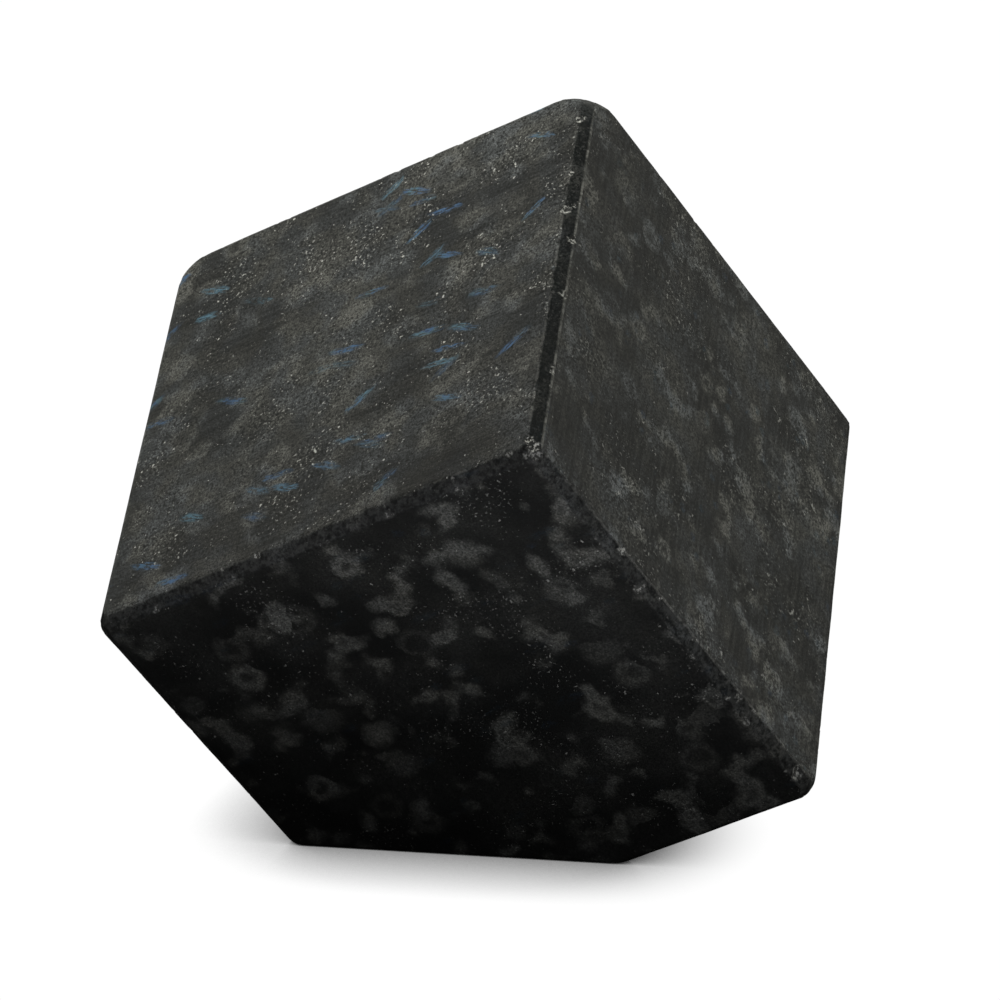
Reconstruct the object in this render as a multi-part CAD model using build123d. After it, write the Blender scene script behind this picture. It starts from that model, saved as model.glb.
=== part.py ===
"""A sawn and honed stone block, nearly a cube, that stands on one flat-cut corner.

The block is drawn square to its own edges first: the corner that is cut off lies at the origin, and the
width, depth and height run along +X, +Y and +Z. It is then stood on the cut, so that in the finished part
the standing facet lies in Z = 0 with its centre at the origin, and +Z is up. All lengths are in millimetres.
"""

from build123d import *
from math import hypot
import os

# The sawn block
WIDTH = 100.0
DEPTH = 99.0
HEIGHT = 106.0
ARRIS = 2.0  # leg of the 45 degree bevel along every sawn edge

# The standing facet: how far from the removed corner its plane meets each of the three edges
FACET_ON_WIDTH = 35.0
FACET_ON_DEPTH = 58.0
FACET_ON_HEIGHT = 70.0
FACET_ARRIS = 0.5  # leg of the small bevel round the standing facet

# Turn about the vertical that brings the block to face -Y, measured from the facet's front edge to +X
HEADING = -6.3

# The corners that remain, each as (along the width, along the depth, along the height, corner radius).
# Handling has worn the two upper corners of the widest face far more than the others.
CORNERS = {
    "upper_left": (1, 0, 1, 7.0),
    "top": (1, 1, 1, 7.0),
    "nearest": (1, 1, 0, 2.0),
    "left": (1, 0, 0, 2.5),
    "lower_right": (0, 1, 0, 3.0),
    "right": (0, 1, 1, 1.7),
    "rear": (0, 0, 1, 3.0),
}

MARGIN = 1.0  # how far a cutting tool stands outside the stone


def corner_waste(on_width, on_depth, on_height, radius):
    """The stone lost at one corner: all that lies outside a ball which touches the three faces in arcs.

    On each face the arc has the given radius and runs on smoothly from the two bevels that meet there.
    """
    corner = Vector(on_width * WIDTH, on_depth * DEPTH, on_height * HEIGHT)
    inward = Vector(1 - 2 * on_width, 1 - 2 * on_depth, 1 - 2 * on_height)
    reach = radius + ARRIS
    side = reach + MARGIN
    ball = Pos(corner + inward * reach) * Sphere(hypot(reach, radius))
    return Pos(corner + inward * (reach - side / 2)) * Box(side, side, side) - ball


def sawn_block():
    """The bevelled block with its worn corners, before its standing corner is cut off."""
    block = Pos(WIDTH / 2, DEPTH / 2, HEIGHT / 2) * Box(WIDTH, DEPTH, HEIGHT)
    block = chamfer(block.edges(), ARRIS)
    for corner in CORNERS.values():
        block -= corner_waste(*corner)
    return block


def facet_plane():
    """The plane of the standing facet, facing into the stone, with its X along the facet's front edge."""
    on_width = Vector(FACET_ON_WIDTH, 0, 0)
    on_depth = Vector(0, FACET_ON_DEPTH, 0)
    into_stone = Vector(1 / FACET_ON_WIDTH, 1 / FACET_ON_DEPTH, 1 / FACET_ON_HEIGHT)
    return Plane(origin=on_width, x_dir=on_depth - on_width, z_dir=into_stone)


def stand_on_facet(block):
    """Cuts the standing facet, bevels its rim and stands the block on it."""
    plane = facet_plane()
    block = split(block, bisect_by=plane, keep=Keep.TOP)
    block = Rot(0, 0, HEADING) * (plane.location.inverse() * block)
    rim = block.faces().sort_by(Axis.Z)[0].edges()
    block = chamfer(rim, FACET_ARRIS)
    centre = block.faces().sort_by(Axis.Z)[0].center()
    return Pos(-centre.X, -centre.Y, 0) * block


def main():
    stone_block = stand_on_facet(sawn_block())
    stone_block.label = "stone_block"
    os.makedirs("parts", exist_ok=True)
    export_step(stone_block, "parts/stone_block.step")


main()
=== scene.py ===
"""Looks of a honed granite block that stands on one cut corner: worn and chipped mesh, stone, studio, camera.

The frame gives every size and place. Block coordinates are millimetres along the block's own three edges,
measured from the corner that the standing facet cuts off.
"""

import math
from types import SimpleNamespace

import bmesh
import bpy
import numpy as np
from mathutils import Matrix, Vector, noise
from mathutils.geometry import delaunay_2d_cdt


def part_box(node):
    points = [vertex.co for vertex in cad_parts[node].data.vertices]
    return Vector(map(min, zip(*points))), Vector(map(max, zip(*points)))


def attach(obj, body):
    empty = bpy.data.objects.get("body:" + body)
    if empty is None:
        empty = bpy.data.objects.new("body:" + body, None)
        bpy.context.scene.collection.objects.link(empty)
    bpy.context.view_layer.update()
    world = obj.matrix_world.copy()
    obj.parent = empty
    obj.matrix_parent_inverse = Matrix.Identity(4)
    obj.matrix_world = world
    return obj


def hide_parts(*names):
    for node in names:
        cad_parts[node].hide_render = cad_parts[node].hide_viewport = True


NODE = "stone_block"
MM = 0.001
SEED = 20
ARRIS = 2.0  # leg of the bevel along every edge, as the frame has it, in millimetres


# ---------------------------------------------------------------- the block's own axes


class Block:
    """The block's axes, size and removed corner, read from the frame's mesh."""

    def __init__(self, mesh):
        areas = {}
        for polygon in mesh.polygons:
            key = tuple(round(c, 2) for c in polygon.normal)
            total, normal, point = areas.get(key, (0.0, polygon.normal.copy(), polygon.center.copy()))
            areas[key] = (total + polygon.area, normal, point)
        faces = sorted(areas.values(), key=lambda face: -face[0])[:6]
        upper = [face for face in faces if face[1].z > 0]
        lower = [face for face in faces if face[1].z < 0]
        width = max(upper, key=lambda face: face[1].z)
        depth = max(upper, key=lambda face: face[1].x)
        height = max(upper, key=lambda face: face[1].y)
        self.axes = Matrix([width[1], depth[1], height[1]])
        opposite = [min(lower, key=lambda face: face[1] @ axis) for axis in self.axes]
        near = [axis @ face[2] for axis, face in zip(self.axes, opposite)]
        far = [axis @ face[2] for axis, face in zip(self.axes, (width, depth, height))]
        self.near = Vector(near)
        self.size = Vector([(f - n) / MM for f, n in zip(far, near)])

    def to_block(self, points):
        """Row-frame points in metres, as block coordinates in millimetres."""
        return (np.asarray(points) @ np.array(self.axes).T - np.array(self.near)) / MM

    def to_row(self, points):
        """Block coordinates in millimetres, as row-frame points in metres."""
        return (np.asarray(points) * MM + np.array(self.near)) @ np.array(self.axes)


# ---------------------------------------------------------------- mesh

# All in millimetres: vertex spacing along the arrises, and then (from, to, spacing) on bands further in
FINE_STEP = 0.42
BANDS = ((0.0, 1.1, 0.42), (1.1, 2.4, 0.8), (2.4, 5.5, 1.6), (5.5, 1000.0, 3.2))
CLEARANCE = 0.6  # how far the inner points keep from the outline, in spacings
SOURCE_WELD = 0.004
FACE_WELD = 0.01
FLAT_WITHIN = math.radians(0.2)


def boundary_distance(points, loop):
    """Distance of each 2-D point from a closed outline."""
    nearest = np.full(len(points), 1e9)
    for a, b in zip(loop, np.roll(loop, -1, axis=0)):
        along = b - a
        t = np.clip((points - a) @ along / max(along @ along, 1e-12), 0.0, 1.0)
        nearest = np.minimum(nearest, np.linalg.norm(points - a - t[:, None] * along, axis=1))
    return nearest


def split_loop(corners, step):
    """The outline's corners with evenly spaced points added, the same ones whichever face asks."""
    points = []
    for a, b in zip(corners, corners[1:] + corners[:1]):
        first, last = sorted((a, b), key=lambda v: tuple(round(c, 3) for c in v))
        count = max(1, math.ceil((b - a).length / step))
        inner = [first.lerp(last, i / count) for i in range(1, count)]
        points.append(a)
        points += inner if first == a else inner[::-1]
    return points


def lattice(low, high, step):
    """A triangular lattice over a rectangle."""
    rows = np.arange(low[1], high[1], step * math.sqrt(3) / 2)
    columns = np.arange(low[0], high[0], step)
    x, y = np.meshgrid(columns, rows)
    x[1::2] += step / 2
    return np.stack([x.ravel(), y.ravel()], axis=1)


def fill_face(corners, normal, coarsening):
    """Points and triangles of one flat face, in millimetres, fine near its outline and coarse inside."""
    outline = split_loop(corners, FINE_STEP * coarsening)
    across = (corners[1] - corners[0]).normalized()
    basis = np.array([across, normal.cross(across)])
    origin = np.array(corners[0])
    loop = (np.array(outline) - origin) @ basis.T
    low, high = loop.min(axis=0), loop.max(axis=0)
    inside = []
    for band_start, band_end, step in BANDS:
        step *= coarsening
        if min(high - low) / 2 < band_start:
            continue
        points = lattice(low, high, step)
        distance = boundary_distance(points, (np.array(corners) - origin) @ basis.T)
        inside.append(points[(distance >= max(band_start, step * CLEARANCE)) & (distance < band_end)])
    flat = [Vector(p) for p in np.concatenate([loop, *inside])]
    result = delaunay_2d_cdt(flat, [], [list(range(len(loop)))], 1, 1e-5)
    points = np.array([tuple(p) for p in result[0]]) @ basis + origin
    return points, result[2]


def dense_mesh(source, coarsening):
    """A closed bmesh of the stone in millimetres, fine along the arrises and coarse on the open faces."""
    plain = bmesh.new()
    plain.from_mesh(source)
    plain.transform(Matrix.Scale(1 / MM, 4))
    bmesh.ops.remove_doubles(plain, verts=plain.verts, dist=SOURCE_WELD)
    bmesh.ops.dissolve_limit(plain, angle_limit=FLAT_WITHIN, verts=plain.verts, edges=plain.edges)
    plain.normal_update()
    fine = bmesh.new()
    for face in plain.faces:
        points, triangles = fill_face([v.co.copy() for v in face.verts], face.normal, coarsening)
        used = {i: fine.verts.new(points[i]) for i in sorted({i for t in triangles for i in t})}
        for triangle in triangles:
            fine.faces.new([used[i] for i in triangle])
    plain.free()
    bmesh.ops.remove_doubles(fine, verts=fine.verts, dist=FACE_WELD)
    bmesh.ops.recalc_face_normals(fine, faces=fine.faces)
    return fine


# ---------------------------------------------------------------- wear

# The larger chips on the three ridges that meet at the nearest corner: the ridge, how far along it from that
# corner (0 to 1), side of the bevel (-1 to 1), and the ball's radius and depth in millimetres
CHIPS = (
    ("height", 0.02, 0.0, 2.6, 0.75),
    ("height", 0.035, 1.0, 1.8, 0.45),
    ("height", 0.42, -1.0, 1.6, 0.35),
    ("height", 0.57, -1.0, 2.2, 0.45),
    ("height", 0.645, 1.0, 2.0, 0.5),
    ("height", 0.66, -0.6, 1.2, 0.3),
    ("height", 0.90, 1.0, 1.9, 0.60),
    ("depth", 0.015, 0.0, 2.4, 0.6),
    ("depth", 0.06, 1.0, 1.5, 0.35),
    ("depth", 0.33, -1.0, 1.6, 0.3),
    ("depth", 0.62, 1.0, 1.8, 0.35),
    ("depth", 0.86, -1.0, 1.5, 0.3),
    ("width", 0.02, 0.0, 2.2, 0.6),
    ("width", 0.30, 1.0, 2.2, 0.35),
    ("width", 0.38, -1.0, 2.6, 0.40),
    ("width", 0.55, 1.0, 1.6, 0.25),
    ("width", 0.71, 1.0, 2.2, 0.35),
    ("width", 0.76, -1.0, 2.2, 0.4),
    ("width", 0.93, 0.0, 2.6, 0.5),
)
NICK_SPACING = 5.5  # one small nick about every so many millimetres of arris
NICK_RADIUS = (0.7, 1.9)
NICK_DEPTH = (0.06, 0.26)
NICK_SHARE = (0.3, 1.0)  # each nick goes this share of its depth
CORNER_GAP = 3  # nicks keep this many bevel legs off the corners

# Rubbed arrises and ground bevels, in millimetres
RUB_REACH = 1.6
RUB_WIDTH = 0.45
RUB_DEPTH, RUB_UNEVEN, RUB_LUMPS = 0.07, 0.05, 9.0
GROUND_DEPTH, GROUND_MARGIN, GROUND_LUMPS = 0.05, 0.3, 16.0

# Chips: how ragged, how deep a cut counts as fresh stone, and the grit on it
RAGGED_SHARE, RAGGED_LUMPS = 0.16, 1.1
LARGEST_REACH = 1.3  # ragged balls reach at most this many radii
FRESH_DEPTH = 0.06
GRIT_DEPTH, GRIT_LUMPS = 0.09, 0.7


def face_distances(size, points):
    """For block points: distance to the nearest main face plane, to the second nearest and to the third."""
    return np.sort(np.minimum(points, size - points), axis=1).T


def arris_distance(size, points):
    """How far each block point on the surface is from the nearest line where a bevel meets a face."""
    nearest, second, _ = face_distances(size, points)
    return np.where(second < ARRIS, nearest * math.sqrt(2), second - ARRIS)


def bevel_lines(size):
    """Both long lines of every bevel as (start, end, outward direction), in block coordinates."""
    lines = []
    for axis in range(3):
        first, second = [i for i in range(3) if i != axis]
        for at_first in (0, 1):
            for at_second in (0, 1):
                corner = np.zeros(3)
                corner[first], corner[second] = at_first * size[first], at_second * size[second]
                out = np.zeros(3)
                out[first], out[second] = 2 * at_first - 1, 2 * at_second - 1
                for inset in (first, second):
                    start = corner.copy()
                    start[inset] -= ARRIS * out[inset]
                    end = start.copy()
                    start[axis], end[axis] = CORNER_GAP * ARRIS, size[axis] - CORNER_GAP * ARRIS
                    lines.append((start, end, out / np.linalg.norm(out)))
    return lines


def ridge_chips(size):
    """The larger chips as (ball centre, radius, outward direction), in block coordinates."""
    nearest_corner = np.array([size[0], size[1], 0.0])
    others = {"height": (2, 0, 1), "depth": (1, 0, 2), "width": (0, 1, 2)}
    balls = []
    for ridge, along, side, radius, depth in CHIPS:
        axis, first, second = others[ridge]
        out = np.where(nearest_corner > 0, 1.0, -1.0)
        out[axis] = 0.0
        point = nearest_corner.copy()
        point[axis] += along * (size[axis] if axis == 2 else -size[axis])
        point[first] -= out[first] * ARRIS * (1 - side) / 2
        point[second] -= out[second] * ARRIS * (1 + side) / 2
        out /= np.linalg.norm(out)
        balls.append((point + out * (radius - depth), radius, out))
    return balls


def nicks(size, random):
    """Small seeded nicks along every arris, as (ball centre, radius, outward direction)."""
    balls = []
    for start, end, out in bevel_lines(size):
        for _ in range(int(np.linalg.norm(end - start) / NICK_SPACING)):
            radius = random.uniform(*NICK_RADIUS)
            depth = random.uniform(*NICK_DEPTH) * random.uniform(*NICK_SHARE)
            point = start + (end - start) * random.uniform()
            balls.append((point + out * (radius - depth), radius, out))
    return balls


def rough(points, size_mm, octaves=3):
    """Fractal noise from about -1 to 1 at each block point, whose largest lumps are size_mm across."""
    return np.array([noise.fractal(Vector(p) / size_mm, 0.9, 2.0, octaves) for p in points])


def carve(points, fracture, ball):
    """Moves the points inside a rough ball inwards onto its far side, and marks them as broken stone."""
    centre, radius, out = ball
    near = np.flatnonzero(np.linalg.norm(points - centre, axis=1) < radius * LARGEST_REACH)
    if not len(near):
        return
    offset = points[near] - centre
    wide = radius * (1 + RAGGED_SHARE * rough(points[near], RAGGED_LUMPS))
    height = offset @ out
    across = np.linalg.norm(offset - height[:, None] * out, axis=1)
    sink = height + np.sqrt(np.maximum(wide**2 - across**2, 0.0))
    hit = (across < wide) & (sink > 0) & (sink < radius)
    points[near[hit]] -= out * sink[hit, None]
    fracture[near[hit]] = np.maximum(fracture[near[hit]], np.clip(sink[hit] / FRESH_DEPTH, 0.0, 1.0))


def wear(points, normals, size):
    """Worn points in block coordinates, and how freshly broken each one is, from 0 to 1."""
    random = np.random.default_rng(SEED)
    points = points.copy()
    fracture = np.zeros(len(points))
    closeness = arris_distance(size, points)
    fine = np.flatnonzero(closeness < RUB_REACH)
    depth = RUB_DEPTH + RUB_UNEVEN * rough(points[fine], RUB_LUMPS)
    rubbed = np.exp(-((closeness[fine] / RUB_WIDTH) ** 2)) * depth
    on_bevel = face_distances(size, points[fine])[1] < ARRIS + GROUND_MARGIN
    ground = np.where(on_bevel, GROUND_DEPTH, 0.0) * (1 + rough(points[fine], GROUND_LUMPS))
    points[fine] -= normals[fine] * np.maximum(rubbed + ground, 0.0)[:, None]
    for ball in ridge_chips(size) + nicks(size, random):
        carve(points, fracture, ball)
    broken = np.flatnonzero(fracture > 0)
    grit = np.abs(rough(points[broken], GRIT_LUMPS)) * GRIT_DEPTH * fracture[broken]
    points[broken] -= normals[broken] * grit[:, None]
    return points, fracture


def stone(node, block):
    """The visible stone: the frame's block, finely meshed, worn and chipped."""
    bm = dense_mesh(node.data, 1.0)
    mesh = bpy.data.meshes.new("granite_block")
    bm.normal_update()
    bm.to_mesh(mesh)
    bm.free()
    count = len(mesh.vertices)
    co = np.empty(count * 3)
    mesh.vertices.foreach_get("co", co)
    normals = np.empty(count * 3)
    mesh.vertices.foreach_get("normal", normals)
    turn = np.array(block.axes)
    size = np.array(block.size)
    points = block.to_block(co.reshape(-1, 3) * MM)
    points, fracture = wear(points, normals.reshape(-1, 3) @ turn.T, size)
    placed = block.to_row(points)
    placed[:, 2] = np.maximum(placed[:, 2], 0.0)
    mesh.vertices.foreach_set("co", placed.ravel())
    broken = mesh.attributes.new("fracture", "FLOAT", "POINT")
    broken.data.foreach_set("value", fracture)
    mesh.update()
    mesh.shade_smooth()
    piece = bpy.data.objects.new("granite_block", mesh)
    bpy.context.scene.collection.objects.link(piece)
    return piece


# ---------------------------------------------------------------- material


class Graph:
    """Short calls for building a node tree."""

    def __init__(self, tree):
        self.tree = tree
        tree.nodes.clear()

    def node(self, kind, **settings):
        made = self.tree.nodes.new(kind)
        for name, value in settings.items():
            setattr(made, name, value)
        return made

    def put(self, socket, value):
        if isinstance(value, bpy.types.NodeSocket):
            self.tree.links.new(value, socket)
        elif value is not None:
            socket.default_value = value

    def math(self, operation, a, b=None, clamp=False):
        made = self.node("ShaderNodeMath", operation=operation, use_clamp=clamp)
        self.put(made.inputs[0], a)
        self.put(made.inputs[1], b)
        return made.outputs[0]

    def vector(self, operation, a, b=None, scale=None):
        made = self.node("ShaderNodeVectorMath", operation=operation)
        self.put(made.inputs[0], a)
        if scale is None:
            self.put(made.inputs[1], b)
        else:
            self.put(made.inputs["Scale"], scale)
        return made.outputs["Value" if operation == "DOT_PRODUCT" else "Vector"]

    def place(self, vector, rotation=(0, 0, 0), scale=(1, 1, 1), shift=(0, 0, 0)):
        made = self.node("ShaderNodeMapping")
        self.put(made.inputs["Vector"], vector)
        made.inputs["Rotation"].default_value = rotation
        made.inputs["Scale"].default_value = scale
        made.inputs["Location"].default_value = shift
        return made.outputs[0]

    def step(self, value, low, high, to_low=0.0, to_high=1.0):
        """A smooth step from to_low at low to to_high at high."""
        made = self.node("ShaderNodeMapRange", interpolation_type="SMOOTHSTEP")
        self.put(made.inputs["Value"], value)
        for name, number in (("From Min", low), ("From Max", high), ("To Min", to_low), ("To Max", to_high)):
            self.put(made.inputs[name], number)
        return made.outputs[0]

    def noise(self, vector, size_mm, detail=2.0, roughness=0.5, colour=False):
        made = self.node("ShaderNodeTexNoise")
        self.put(made.inputs["Vector"], vector)
        made.inputs["Scale"].default_value = 1.0 / size_mm
        made.inputs["Detail"].default_value = detail
        made.inputs["Roughness"].default_value = roughness
        return made.outputs["Color" if colour else "Fac"]

    def drawn_out(self, vector, cell_mm, detail, roughness):
        """Noise whose lumps have these lengths along the three axes."""
        return self.noise(self.place(vector, scale=tuple(1 / c for c in cell_mm)), 1.0, detail, roughness)

    def cells(self, vector, size_mm):
        """Distance from the nearest cell's point, in cell widths, and the cell's own random numbers."""
        made = self.node("ShaderNodeTexVoronoi")
        self.put(made.inputs["Vector"], vector)
        made.inputs["Scale"].default_value = 1.0 / size_mm
        split = self.node("ShaderNodeSeparateColor")
        self.put(split.inputs[0], made.outputs["Color"])
        return made.outputs["Distance"], split.outputs[0], split.outputs[1], split.outputs[2]

    def mix(self, factor, a, b):
        made = self.node("ShaderNodeMix", data_type="RGBA")
        self.put(made.inputs[0], factor)
        self.put(made.inputs[6], a)
        self.put(made.inputs[7], b)
        return made.outputs[2]

    def blend(self, factor, a, b):
        """A number between a and b."""
        made = self.node("ShaderNodeMix", data_type="FLOAT")
        self.put(made.inputs[0], factor)
        self.put(made.inputs[2], a)
        self.put(made.inputs[3], b)
        return made.outputs[0]


# Linear colours
MATRIX = (0.0085, 0.0088, 0.0082, 1.0)
PATCH = (0.134, 0.134, 0.114, 1.0)
COOL_PATCH = (0.112, 0.120, 0.116, 1.0)
SPECK = (0.50, 0.50, 0.44, 1.0)
STEEL_BLUE = (0.056, 0.126, 0.230, 1.0)
TEAL = (0.090, 0.182, 0.225, 1.0)
# darker colour given to the bevels that run with the block's height
DARK_UPRIGHT_BEVEL = (0.0065, 0.0080, 0.0080, 1.0)
GROUND_BEVEL = (0.046, 0.047, 0.043, 1.0)
BROKEN = (0.060, 0.060, 0.054, 1.0)
# paler arris lines: rubbed stone and partly a painted highlight
RUBBED_AND_HIGHLIT = (0.24, 0.24, 0.21, 1.0)

# Noises: size in millimetres (or lengths along the three axes), detail, roughness
MOTTLE = (1.1, 4.0, 0.70)
GRAIN = (0.42, 2.0, 0.6)
CLOUDS = (19.0, 3.0, 0.55)
GATHER = (13.0, 2.0, 0.5)
RAGGED_EDGE = (1.4, 4.0, 0.7)
BEVEL_SPECKLE = (0.8, 3.0, 0.7)
LINE_STRETCHES = (2.6, 5.0, 0.8)
# pale crystals and painted glints in the chips
CHIP_GLINTS = (0.75, 3.0, 0.7)
HONE = ((0.7, 18.0, 0.7), 3.0, 0.65)
UPRIGHT_HONE = ((0.8, 0.8, 11.0), 3.0, 0.65)
FIBRES = ((0.36, 2.6, 0.36), 3.0, 0.7)

# Levels on the broad faces, on the side faces and on the end faces of the block
PATCH_LEVEL = (0.78, 1.40, 0.95)
PATCH_LOW = (0.28, 0.28, 0.40)
# Painted light and shade: the sheen and the ground tone are set face by face, palest on the broad faces and
# darkest on the end faces, as the light falls
PAINTED_SHEEN_LEVEL = (0.52, 0.40, 0.14)
PAINTED_FACE_SHADING = (0.13, 0.06, 0.03)
GRAIN_LOW = (0.25, 0.25, 0.50)
GRAIN_HIGH = (1.75, 1.75, 1.50)
COOL_LEVEL = (1.0, 1.0, 0.25)
DARK_LEVEL = (0.85, 0.85, 0.25)
SPECK_LEVEL = (0.95, 0.40, 0.40)
LATH_LEVEL = (0.95, 0.16, 0.05)

RING_SIZE, RING_SHIFT = 8.0, (3, 8, 1)
BLOT_SIZE, BLOT_SHIFT, BLOT_LEVEL = 6.8, (31, 17, 5), 0.85
LATH_CELL = (2.0, 7.5, 2.0)
# Laths that lie one way: lean in radians, share of the cells, shift
LATH_SETS = ((0.15, 0.026, (0, 0, 0)), (0.48, 0.024, (5, 2, 9)), (-0.70, 0.018, (11, 7, 3)))

# Grains: size in millimetres, noise level to pass where they are scarce and where they are common, shift
DARK_GRAINS = (0.7, 0.58, 0.51, (5, 9, 2))
FINE_GRAINS = (0.62, 0.70, 0.605, (0, 0, 0))
COARSE_GRAINS = (1.4, 0.74, 0.665, (2, 4, 7))

# Bevels and chips
BEVEL_LEVEL = 0.78
BEVEL_INSET = (-0.55, 0.40)  # the bevel's tone ends this far from its line, in millimetres
CORNER_FADE = (6.0, 2.2)  # and fades where the third face comes this near
LINE_WIDTH = (0.50, 0.18)
BROKEN_LEVEL = 0.6
SAME = 0.01  # millimetres

# Finish
HONED_GLOSS = (0.32, 0.46)
BEVEL_GLOSS = 0.30
BROKEN_GLOSS = 0.62
BUMP_STRENGTH = 0.55
BUMP_HEIGHT = 0.00006
SPECULAR_TINT = (1.0, 1.0, 0.95, 1.0)
IOR = 1.5


def block_vector(g, block):
    """Block coordinates in millimetres."""
    seen = g.node("ShaderNodeTexCoord").outputs["Object"]
    turn = block.axes.to_euler()
    return g.place(seen, turn, (1 / MM,) * 3, -block.near / MM)


def stir(g, at, size_mm, reach_mm):
    """The same coordinates, wandering by up to about reach_mm in lumps of size_mm."""
    wander = g.vector("SUBTRACT", g.noise(at, size_mm, 3.0, 0.6, colour=True), (0.5, 0.5, 0.5))
    return g.vector("ADD", at, g.vector("SCALE", wander, scale=2 * reach_mm))


def rings(g, at, size_mm, seed_shift):
    """Round mineral patches, some of them rings with a dark core, from 0 to 1."""
    at = stir(g, at, 3.0, size_mm * 0.22)
    distance, chance, ringed, bright = g.cells(g.place(at, shift=seed_shift), size_mm)
    radius = g.step(chance, 0.30, 0.95, 0.02, 0.50)
    reach = g.math("DIVIDE", distance, radius)
    body = g.step(reach, 1.26, 0.56)
    core = g.math("MULTIPLY", g.step(reach, 0.78, 0.40), g.step(ringed, 0.30, 0.42))
    hollow = g.math("SUBTRACT", 1.0, g.math("MULTIPLY", core, 0.85))
    level = g.step(bright, 0.0, 1.0, 0.25, 1.0)
    return g.math("MULTIPLY", g.math("MULTIPLY", body, hollow), level)


def blots(g, at, size_mm, seed_shift):
    """Lobed mineral patches with a slightly darker middle, from 0 to 1."""
    field = g.noise(g.place(stir(g, at, 2.6, 1.0), shift=seed_shift), size_mm, 1.5, 0.5)
    body = g.step(field, 0.545, 0.72)
    middle = g.step(field, 0.68, 0.76, 1.0, 0.5)
    return g.math("MULTIPLY", body, middle)


def flakes(g, at, grains, gather):
    """Small ragged grains gathered in clusters, from 0 to 1."""
    size_mm, scarce, common, shift = grains
    field = g.noise(g.place(at, shift=shift), size_mm, 2.0, 0.55)
    level = g.step(gather, 0.36, 0.70, scarce, common)
    return g.step(g.math("SUBTRACT", field, level), 0.0, 0.05)


def laths(g, at, lean, share, seed_shift):
    """Thin feldspar laths that lie one way, streaked along their length, and each one's random number."""
    at = g.place(stir(g, at, 3.5, 0.5), (lean, 0.0, 0.0))
    cell = g.place(at, scale=tuple(1 / c for c in LATH_CELL), shift=seed_shift)
    distance, chance, shade, level = g.cells(cell, 1.0)
    found = g.math("GREATER_THAN", chance, 1.0 - share)
    shape = g.step(distance, 0.70, 0.26)
    fibres = g.drawn_out(at, *FIBRES)
    lath = g.math("MULTIPLY", g.math("MULTIPLY", found, shape), g.step(fibres, 0.43, 0.60))
    return g.math("MULTIPLY", lath, g.step(level, 0.0, 0.8, 0.35, 1.0)), shade


def zones(g, block, at):
    """Masks from 0 to 1 that say where on the block a point is, and by_face, a level for each kind of face."""
    zone = SimpleNamespace()
    far = g.vector("SUBTRACT", tuple(block.size), at)
    parts = g.node("ShaderNodeSeparateXYZ")
    g.put(parts.inputs[0], g.vector("MINIMUM", at, far))
    x, y, z = parts.outputs
    nearest = g.math("MINIMUM", g.math("MINIMUM", x, y), z)
    furthest = g.math("MAXIMUM", g.math("MAXIMUM", x, y), z)
    total = g.math("ADD", g.math("ADD", x, y), z)
    second = g.math("SUBTRACT", g.math("SUBTRACT", total, nearest), furthest)

    # Bevels, the lines where they meet the faces, and whether the nearest bevel runs with the block's height
    inset, outset = BEVEL_INSET
    ragged = g.step(g.noise(at, *RAGGED_EDGE), 0.25, 0.75, ARRIS + inset, ARRIS + outset)
    across = g.math("SUBTRACT", g.math("SUBTRACT", second, nearest), ragged)
    zone.bevel = g.math("MULTIPLY", g.step(across, 0.18, -0.18), g.step(second, *CORNER_FADE))
    to_line = g.math("MAXIMUM", g.math("SUBTRACT", second, ARRIS), g.math("MULTIPLY", nearest, 1.41))
    zone.line = g.step(to_line, *LINE_WIDTH)
    zone.upright = g.math("GREATER_THAN", z, second)
    zone.by_broad = g.math("LESS_THAN", g.math("SUBTRACT", x, nearest), SAME)
    zone.by_end = g.math("LESS_THAN", g.math("SUBTRACT", z, nearest), SAME)

    # Faces
    normal = g.node("ShaderNodeNewGeometry").outputs["Normal"]
    tilt = g.math("ABSOLUTE", g.vector("DOT_PRODUCT", normal, tuple(block.axes[2])))
    broad = g.math("ABSOLUTE", g.vector("DOT_PRODUCT", normal, tuple(block.axes[0])))
    zone.tilt, broad, end = tilt, g.step(broad, 0.80, 0.92), g.step(tilt, 0.80, 0.92)
    zone.by_face = lambda on_broad, on_side, on_end: g.blend(broad, g.blend(end, on_side, on_end), on_broad)
    return zone


def matrix_and_patches(g, zone, at, mottle, grain, hone):
    """The dark matrix with its clouds, honing streaks and mineral patches, with a painted sheen and painted
    light and shade that differ face by face.
    """
    by_face = zone.by_face
    clouds = g.step(g.noise(stir(g, at, 6.0, 2.0), *CLOUDS), 0.36, 0.66)
    lobed = g.math("MULTIPLY", blots(g, at, BLOT_SIZE, BLOT_SHIFT), BLOT_LEVEL)
    patch = g.math("MAXIMUM", rings(g, at, RING_SIZE, RING_SHIFT), lobed)
    patch = g.math("MULTIPLY", patch, by_face(*PATCH_LEVEL))
    patch = g.math("MULTIPLY", patch, g.step(mottle, 0.30, 0.70, by_face(*PATCH_LOW), 0.95))
    # painted sheen laid over the clouds, strongest on the broad faces
    clouds_and_sheen = g.math("MULTIPLY", clouds, g.step(mottle, 0.30, 0.72, 0.05, by_face(*PAINTED_SHEEN_LEVEL)))
    upright_hone = g.step(g.drawn_out(at, *UPRIGHT_HONE), 0.35, 0.65, -0.05, 0.10)
    streak = by_face(g.step(hone, 0.35, 0.65, -0.05, 0.09), upright_hone, 0.0)
    # the ground tone added face by face is painted light and shade
    tone = g.math("ADD", g.math("ADD", patch, clouds_and_sheen), g.math("ADD", by_face(*PAINTED_FACE_SHADING), streak))
    grainy = g.step(grain, 0.32, 0.68, by_face(*GRAIN_LOW), by_face(*GRAIN_HIGH))
    tone = g.math("MULTIPLY", tone, grainy, clamp=True)
    cool = g.math("MULTIPLY", g.step(g.noise(at, 9.0), 0.40, 0.60), by_face(*COOL_LEVEL))
    return g.mix(tone, MATRIX, g.mix(cool, PATCH, COOL_PATCH))


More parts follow.
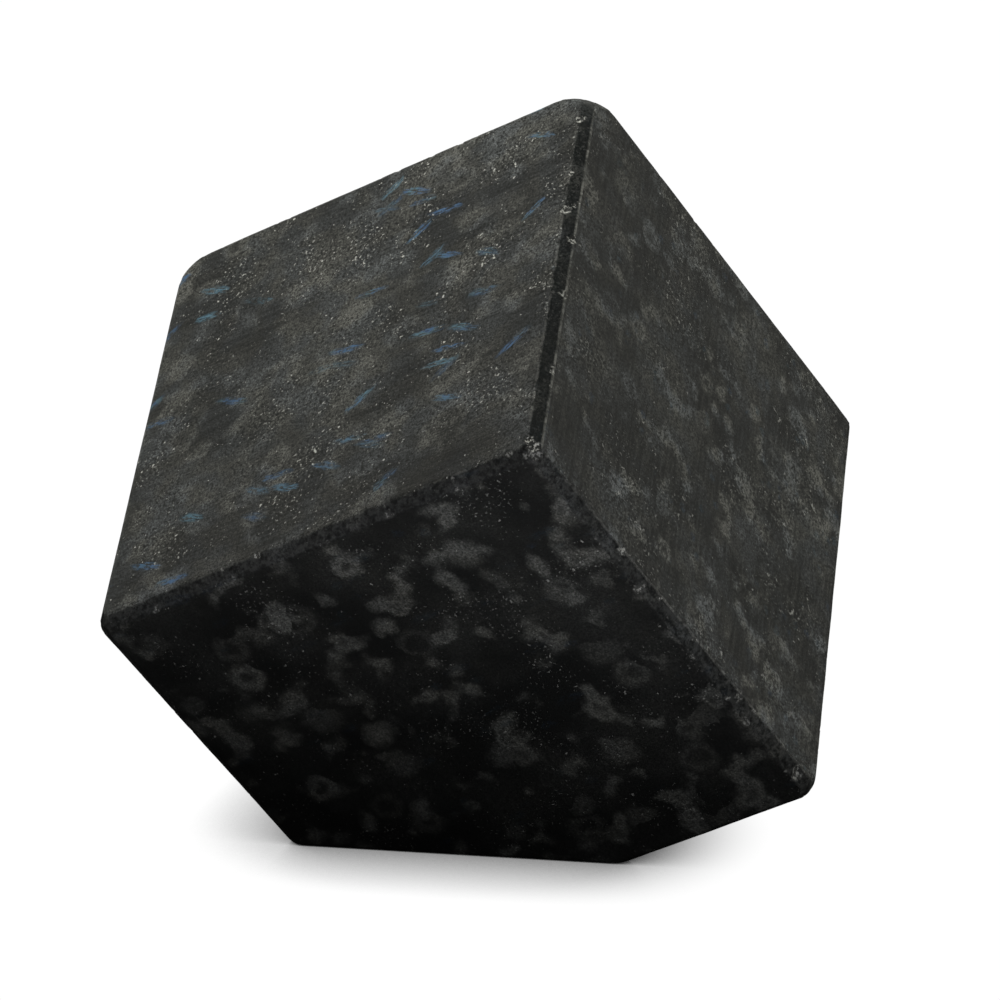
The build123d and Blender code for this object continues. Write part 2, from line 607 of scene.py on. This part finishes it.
def add_grains(g, zone, at, colour):
    """The colour with dark and bright grains on it, and how bright a grain is here."""
    gather = g.noise(at, *GATHER)
    dark = flakes(g, at, DARK_GRAINS, gather)
    colour = g.mix(g.math("MULTIPLY", dark, zone.by_face(*DARK_LEVEL)), colour, MATRIX)
    uneven = g.step(g.noise(at, 1.7), 0.35, 0.65, 0.15, 0.75)
    fine = g.math("MULTIPLY", flakes(g, at, FINE_GRAINS, gather), uneven)
    bright = g.math("MAXIMUM", fine, flakes(g, at, COARSE_GRAINS, gather))
    return g.mix(g.math("MULTIPLY", bright, zone.by_face(*SPECK_LEVEL)), colour, SPECK), bright


def add_laths(g, zone, at, colour):
    """The colour with blue and teal laths on it."""
    lath, shade = 0.0, 0.0
    for lean, share, shift in LATH_SETS:
        another, another_shade = laths(g, at, lean, share, shift)
        lath, shade = g.math("MAXIMUM", lath, another), g.math("MAXIMUM", shade, another_shade)
    lath = g.math("MULTIPLY", lath, zone.by_face(*LATH_LEVEL))
    return g.mix(lath, colour, g.mix(g.step(shade, 0.5, 1.0), STEEL_BLUE, TEAL))


def add_bevels(g, zone, at, mottle, colour):
    """The colour with darker upright bevels, ground bevels elsewhere, and lines along their arrises: paler
    ones that are rubbed stone and partly a painted highlight, and painted shade lines on the end faces.
    """
    ground = g.mix(g.step(mottle, 0.35, 0.65), MATRIX, GROUND_BEVEL)
    # the bevels that run with the block's height are given a darker colour than the others
    dark_upright = g.mix(g.step(g.noise(at, *BEVEL_SPECKLE), 0.50, 0.72), DARK_UPRIGHT_BEVEL, GROUND_BEVEL)
    worked = g.mix(g.step(zone.tilt, 0.25, 0.50), dark_upright, ground)
    colour = g.mix(g.math("MULTIPLY", zone.bevel, BEVEL_LEVEL), colour, worked)
    # lines along the arrises: paler on the broad and side faces, rubbed stone and partly a painted highlight,
    # strongest beside the upright bevels on the side faces
    upright_side = g.math("SUBTRACT", zone.upright, zone.by_broad, clamp=True)
    least, most = g.blend(upright_side, 0.0, 0.12), g.blend(upright_side, 0.22, 0.78)
    line_level = g.step(g.noise(at, *LINE_STRETCHES), 0.42, 0.64, least, most)
    # on the end faces the line takes the matrix colour: a painted shade line
    return g.mix(g.math("MULTIPLY", zone.line, line_level), colour, g.mix(zone.by_end, RUBBED_AND_HIGHLIT, MATRIX))


def add_chips(g, zone, at, fracture, colour):
    """The colour with broken stone in the chips, and pale crystals in it that are partly painted glints."""
    colour = g.mix(g.math("MULTIPLY", fracture, BROKEN_LEVEL), colour, BROKEN)
    # pale crystals in the broken stone, partly painted glints, strongest on the ridges that run with the
    # block's height
    crystals_and_glints = g.step(g.noise(at, *CHIP_GLINTS), 0.50, 0.58, 0.0, g.blend(zone.upright, 0.34, 1.0))
    return g.mix(g.math("MULTIPLY", fracture, crystals_and_glints), colour, SPECK)


def granite(block):
    """Honed dark granite: clouded matrix with a painted sheen and face-by-face painted light and shade,
    patches, blue laths, specks, rubbed arrises with painted highlight and shade lines, and broken chips with
    painted glints.
    """
    material = bpy.data.materials.new("honed_granite")
    material.use_nodes = True
    g = Graph(material.node_tree)
    at = block_vector(g, block)
    zone = zones(g, block, at)
    mottle, grain, hone = g.noise(at, *MOTTLE), g.noise(at, *GRAIN), g.drawn_out(at, *HONE)
    fracture = g.node("ShaderNodeAttribute", attribute_name="fracture").outputs["Fac"]

    colour = matrix_and_patches(g, zone, at, mottle, grain, hone)
    colour, bright = add_grains(g, zone, at, colour)
    colour = add_laths(g, zone, at, colour)
    colour = add_bevels(g, zone, at, mottle, colour)
    colour = add_chips(g, zone, at, fracture, colour)

    gloss = g.blend(zone.bevel, g.step(mottle, 0.2, 0.8, *HONED_GLOSS), BEVEL_GLOSS)
    gloss = g.blend(fracture, gloss, BROKEN_GLOSS)
    relief = g.math("ADD", g.math("MULTIPLY", grain, 0.5), g.math("MULTIPLY", hone, 0.5))
    bump = g.node("ShaderNodeBump")
    bump.inputs["Strength"].default_value = BUMP_STRENGTH
    bump.inputs["Distance"].default_value = BUMP_HEIGHT
    g.put(bump.inputs["Height"], g.math("SUBTRACT", relief, bright))

    surface = g.node("ShaderNodeBsdfPrincipled")
    g.put(surface.inputs["Base Color"], colour)
    g.put(surface.inputs["Roughness"], gloss)
    surface.inputs["IOR"].default_value = IOR
    surface.inputs["Specular Tint"].default_value = SPECULAR_TINT
    g.put(surface.inputs["Normal"], bump.outputs[0])
    out = g.node("ShaderNodeOutputMaterial")
    g.put(out.inputs["Surface"], surface.outputs[0])
    return material


# ---------------------------------------------------------------- studio

# Floor, in metres: half its width, how near the stone has to be to shade it, and from how far off the foot's
# centre to how near the shade deepens
FLOOR_HALF = 3.0
CONTACT_REACH = 0.028
CONTACT_FADE = (0.068, 0.042)
COVER_START, COVER_GAIN = 1.22, 1.6
FLOOR_WHITE = 1.02
FLOOR_DARK = (0.01, 0.01, 0.01, 1.0)

# Surroundings: height and front, each as (from, to, light there, light there)
BACKDROP_WHITE = 1.05
OVERHEAD = (0.15, 0.85, 0.27, 0.07)
FRONT = (-0.40, 0.35, 0.0, 1.0)
WARM_WHITE = (1.0, 1.0, 0.93, 1.0)
PLAIN_WHITE = (1.0, 1.0, 1.0, 1.0)

# Camera: degrees, metres and millimetres
VIEW_ELEVATION = 19.81
VIEW_ROLL = 0.83
VIEW_DISTANCE = 1.0876
LENS = 201.9
SENSOR = 36.0
AIM_FROM_BOX_CENTRE = (0.0021, 0.0, -0.0075)

# Lamps: name, size, power in watts, place, target, tint, spread in degrees
NEUTRAL, COOL = (1.0, 1.0, 1.0), (0.96, 0.97, 1.06)
ROOM_LAMPS = (
    ("overhead", (0.25, 0.25), 0.72, (-0.05, 0.08, 0.30), (0.0, 0.0, 0.05), NEUTRAL, 180),
    ("right_side", (0.30, 0.30), 0.64, (0.50, -0.06, 0.24), (0.04, 0.0, 0.07), NEUTRAL, 180),
)
STONE_LAMPS = (
    ("front_fill", (0.22, 0.02), 0.036, (-0.018, -0.138, 0.076), (-0.018, -0.06, 0.082), COOL, 100),
    ("front_right_fill", (0.08, 0.02), 0.0048, (0.062, -0.130, 0.024), (0.062, -0.03, 0.040), COOL, 100),
    ("right_fill", (0.16, 0.03), 0.08, (0.20, 0.03, 0.05), (0.03, 0.01, 0.06), NEUTRAL, 180),
    ("left_fill", (0.16, 0.03), 0.10, (-0.20, 0.06, 0.05), (-0.03, 0.01, 0.06), NEUTRAL, 180),
    ("rear_fill", (0.20, 0.03), 0.10, (0.0, 0.22, 0.05), (0.0, 0.03, 0.06), NEUTRAL, 180),
)


def floor():
    """A pale floor: plain white to the camera except close to the stone, and dark to all other rays."""
    half = FLOOR_HALF
    mesh = bpy.data.meshes.new("floor")
    corners = [(-half, -half, 0), (half, -half, 0), (half, half, 0), (-half, half, 0)]
    mesh.from_pydata(corners, [], [(0, 1, 2, 3)])
    material = bpy.data.materials.new("pale_floor")
    material.use_nodes = True
    g = Graph(material.node_tree)
    seen = g.node("ShaderNodeLightPath").outputs["Is Camera Ray"]
    open_sky = g.node("ShaderNodeAmbientOcclusion")
    open_sky.inputs["Distance"].default_value = CONTACT_REACH
    clear = g.math("MULTIPLY", open_sky.outputs["AO"], COVER_GAIN)
    covered = g.math("SUBTRACT", COVER_START, clear, clamp=True)
    from_foot = g.node("ShaderNodeVectorMath", operation="LENGTH")
    g.put(from_foot.inputs[0], g.node("ShaderNodeTexCoord").outputs["Object"])
    shade = g.math("MULTIPLY", covered, g.step(from_foot.outputs["Value"], *CONTACT_FADE))
    lit = g.node("ShaderNodeEmission")
    g.put(lit.inputs["Strength"], g.math("SUBTRACT", FLOOR_WHITE, shade))
    dark = g.node("ShaderNodeBsdfDiffuse")
    dark.inputs["Color"].default_value = FLOOR_DARK
    either = g.node("ShaderNodeMixShader")
    g.put(either.inputs[0], seen)
    g.put(either.inputs[1], dark.outputs[0])
    g.put(either.inputs[2], lit.outputs[0])
    out = g.node("ShaderNodeOutputMaterial")
    g.put(out.inputs["Surface"], either.outputs[0])
    mesh.materials.append(material)
    piece = bpy.data.objects.new("floor", mesh)
    bpy.context.scene.collection.objects.link(piece)


def surroundings():
    """Plain white to the camera, and to the stone a soft band of light, dimmer overhead and dark in front."""
    world = bpy.data.worlds.new("studio")
    bpy.context.scene.world = world
    world.use_nodes = True
    g = Graph(world.node_tree)
    seen = g.node("ShaderNodeLightPath").outputs["Is Camera Ray"]
    parts = g.node("ShaderNodeSeparateXYZ")
    g.put(parts.inputs[0], g.node("ShaderNodeTexCoord").outputs["Generated"])
    glow = g.math("MULTIPLY", g.step(parts.outputs[2], *OVERHEAD), g.step(parts.outputs[1], *FRONT))
    light = g.node("ShaderNodeBackground")
    g.put(light.inputs["Color"], g.mix(seen, WARM_WHITE, PLAIN_WHITE))
    g.put(light.inputs["Strength"], g.blend(seen, glow, BACKDROP_WHITE))
    out = g.node("ShaderNodeOutputWorld")
    g.put(out.inputs["Surface"], light.outputs[0])


def lamp(name, size, power, place, target, tint, spread, only=None):
    """A soft oblong lamp that isn't mirrored in the stone; only limits it to one piece."""
    data = bpy.data.lights.new(name, "AREA")
    data.shape = "RECTANGLE"
    data.size, data.size_y = size
    data.energy = power
    data.color = tint
    data.spread = math.radians(spread)
    made = bpy.data.objects.new(name, data)
    made.location = place
    made.rotation_euler = (Vector(target) - Vector(place)).to_track_quat("-Z", "Y").to_euler()
    made.visible_glossy = False
    made.visible_camera = False
    bpy.context.scene.collection.objects.link(made)
    if only:
        lit = bpy.data.collections.new(name + "_lit")
        lit.objects.link(only)
        made.light_linking.receiver_collection = lit


def camera():
    """The photograph's point of view."""
    low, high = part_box(NODE)
    aim = (low + high) / 2 + Vector(AIM_FROM_BOX_CENTRE)
    data = bpy.data.cameras.new("camera")
    data.lens = LENS
    data.sensor_width = SENSOR
    made = bpy.data.objects.new("camera", data)
    rise = math.radians(VIEW_ELEVATION)
    away = Vector((0.0, -math.cos(rise), math.sin(rise)))
    made.location = aim + away * VIEW_DISTANCE
    look = (-away).to_track_quat("-Z", "Y").to_matrix()
    roll = Matrix.Rotation(math.radians(VIEW_ROLL), 3, "Z")
    made.rotation_euler = (look @ roll).to_euler()
    bpy.context.scene.collection.objects.link(made)
    bpy.context.scene.camera = made


# ---------------------------------------------------------------- the scene

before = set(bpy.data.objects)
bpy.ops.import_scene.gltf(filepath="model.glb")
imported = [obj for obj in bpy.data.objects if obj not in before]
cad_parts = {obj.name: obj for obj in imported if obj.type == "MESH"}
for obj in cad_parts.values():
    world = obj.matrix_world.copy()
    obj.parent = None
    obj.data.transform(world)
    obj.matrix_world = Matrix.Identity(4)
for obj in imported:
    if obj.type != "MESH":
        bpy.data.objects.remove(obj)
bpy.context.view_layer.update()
cad_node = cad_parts[NODE]
block = Block(cad_node.data)

granite_block = stone(cad_node, block)
granite_block.data.materials.append(granite(block))
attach(granite_block, "root")
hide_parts(NODE)

floor()
surroundings()
for settings in ROOM_LAMPS:
    lamp(*settings)
for settings in STONE_LAMPS:
    lamp(*settings, only=granite_block)
camera()
bpy.context.scene.view_settings.view_transform = "Standard"
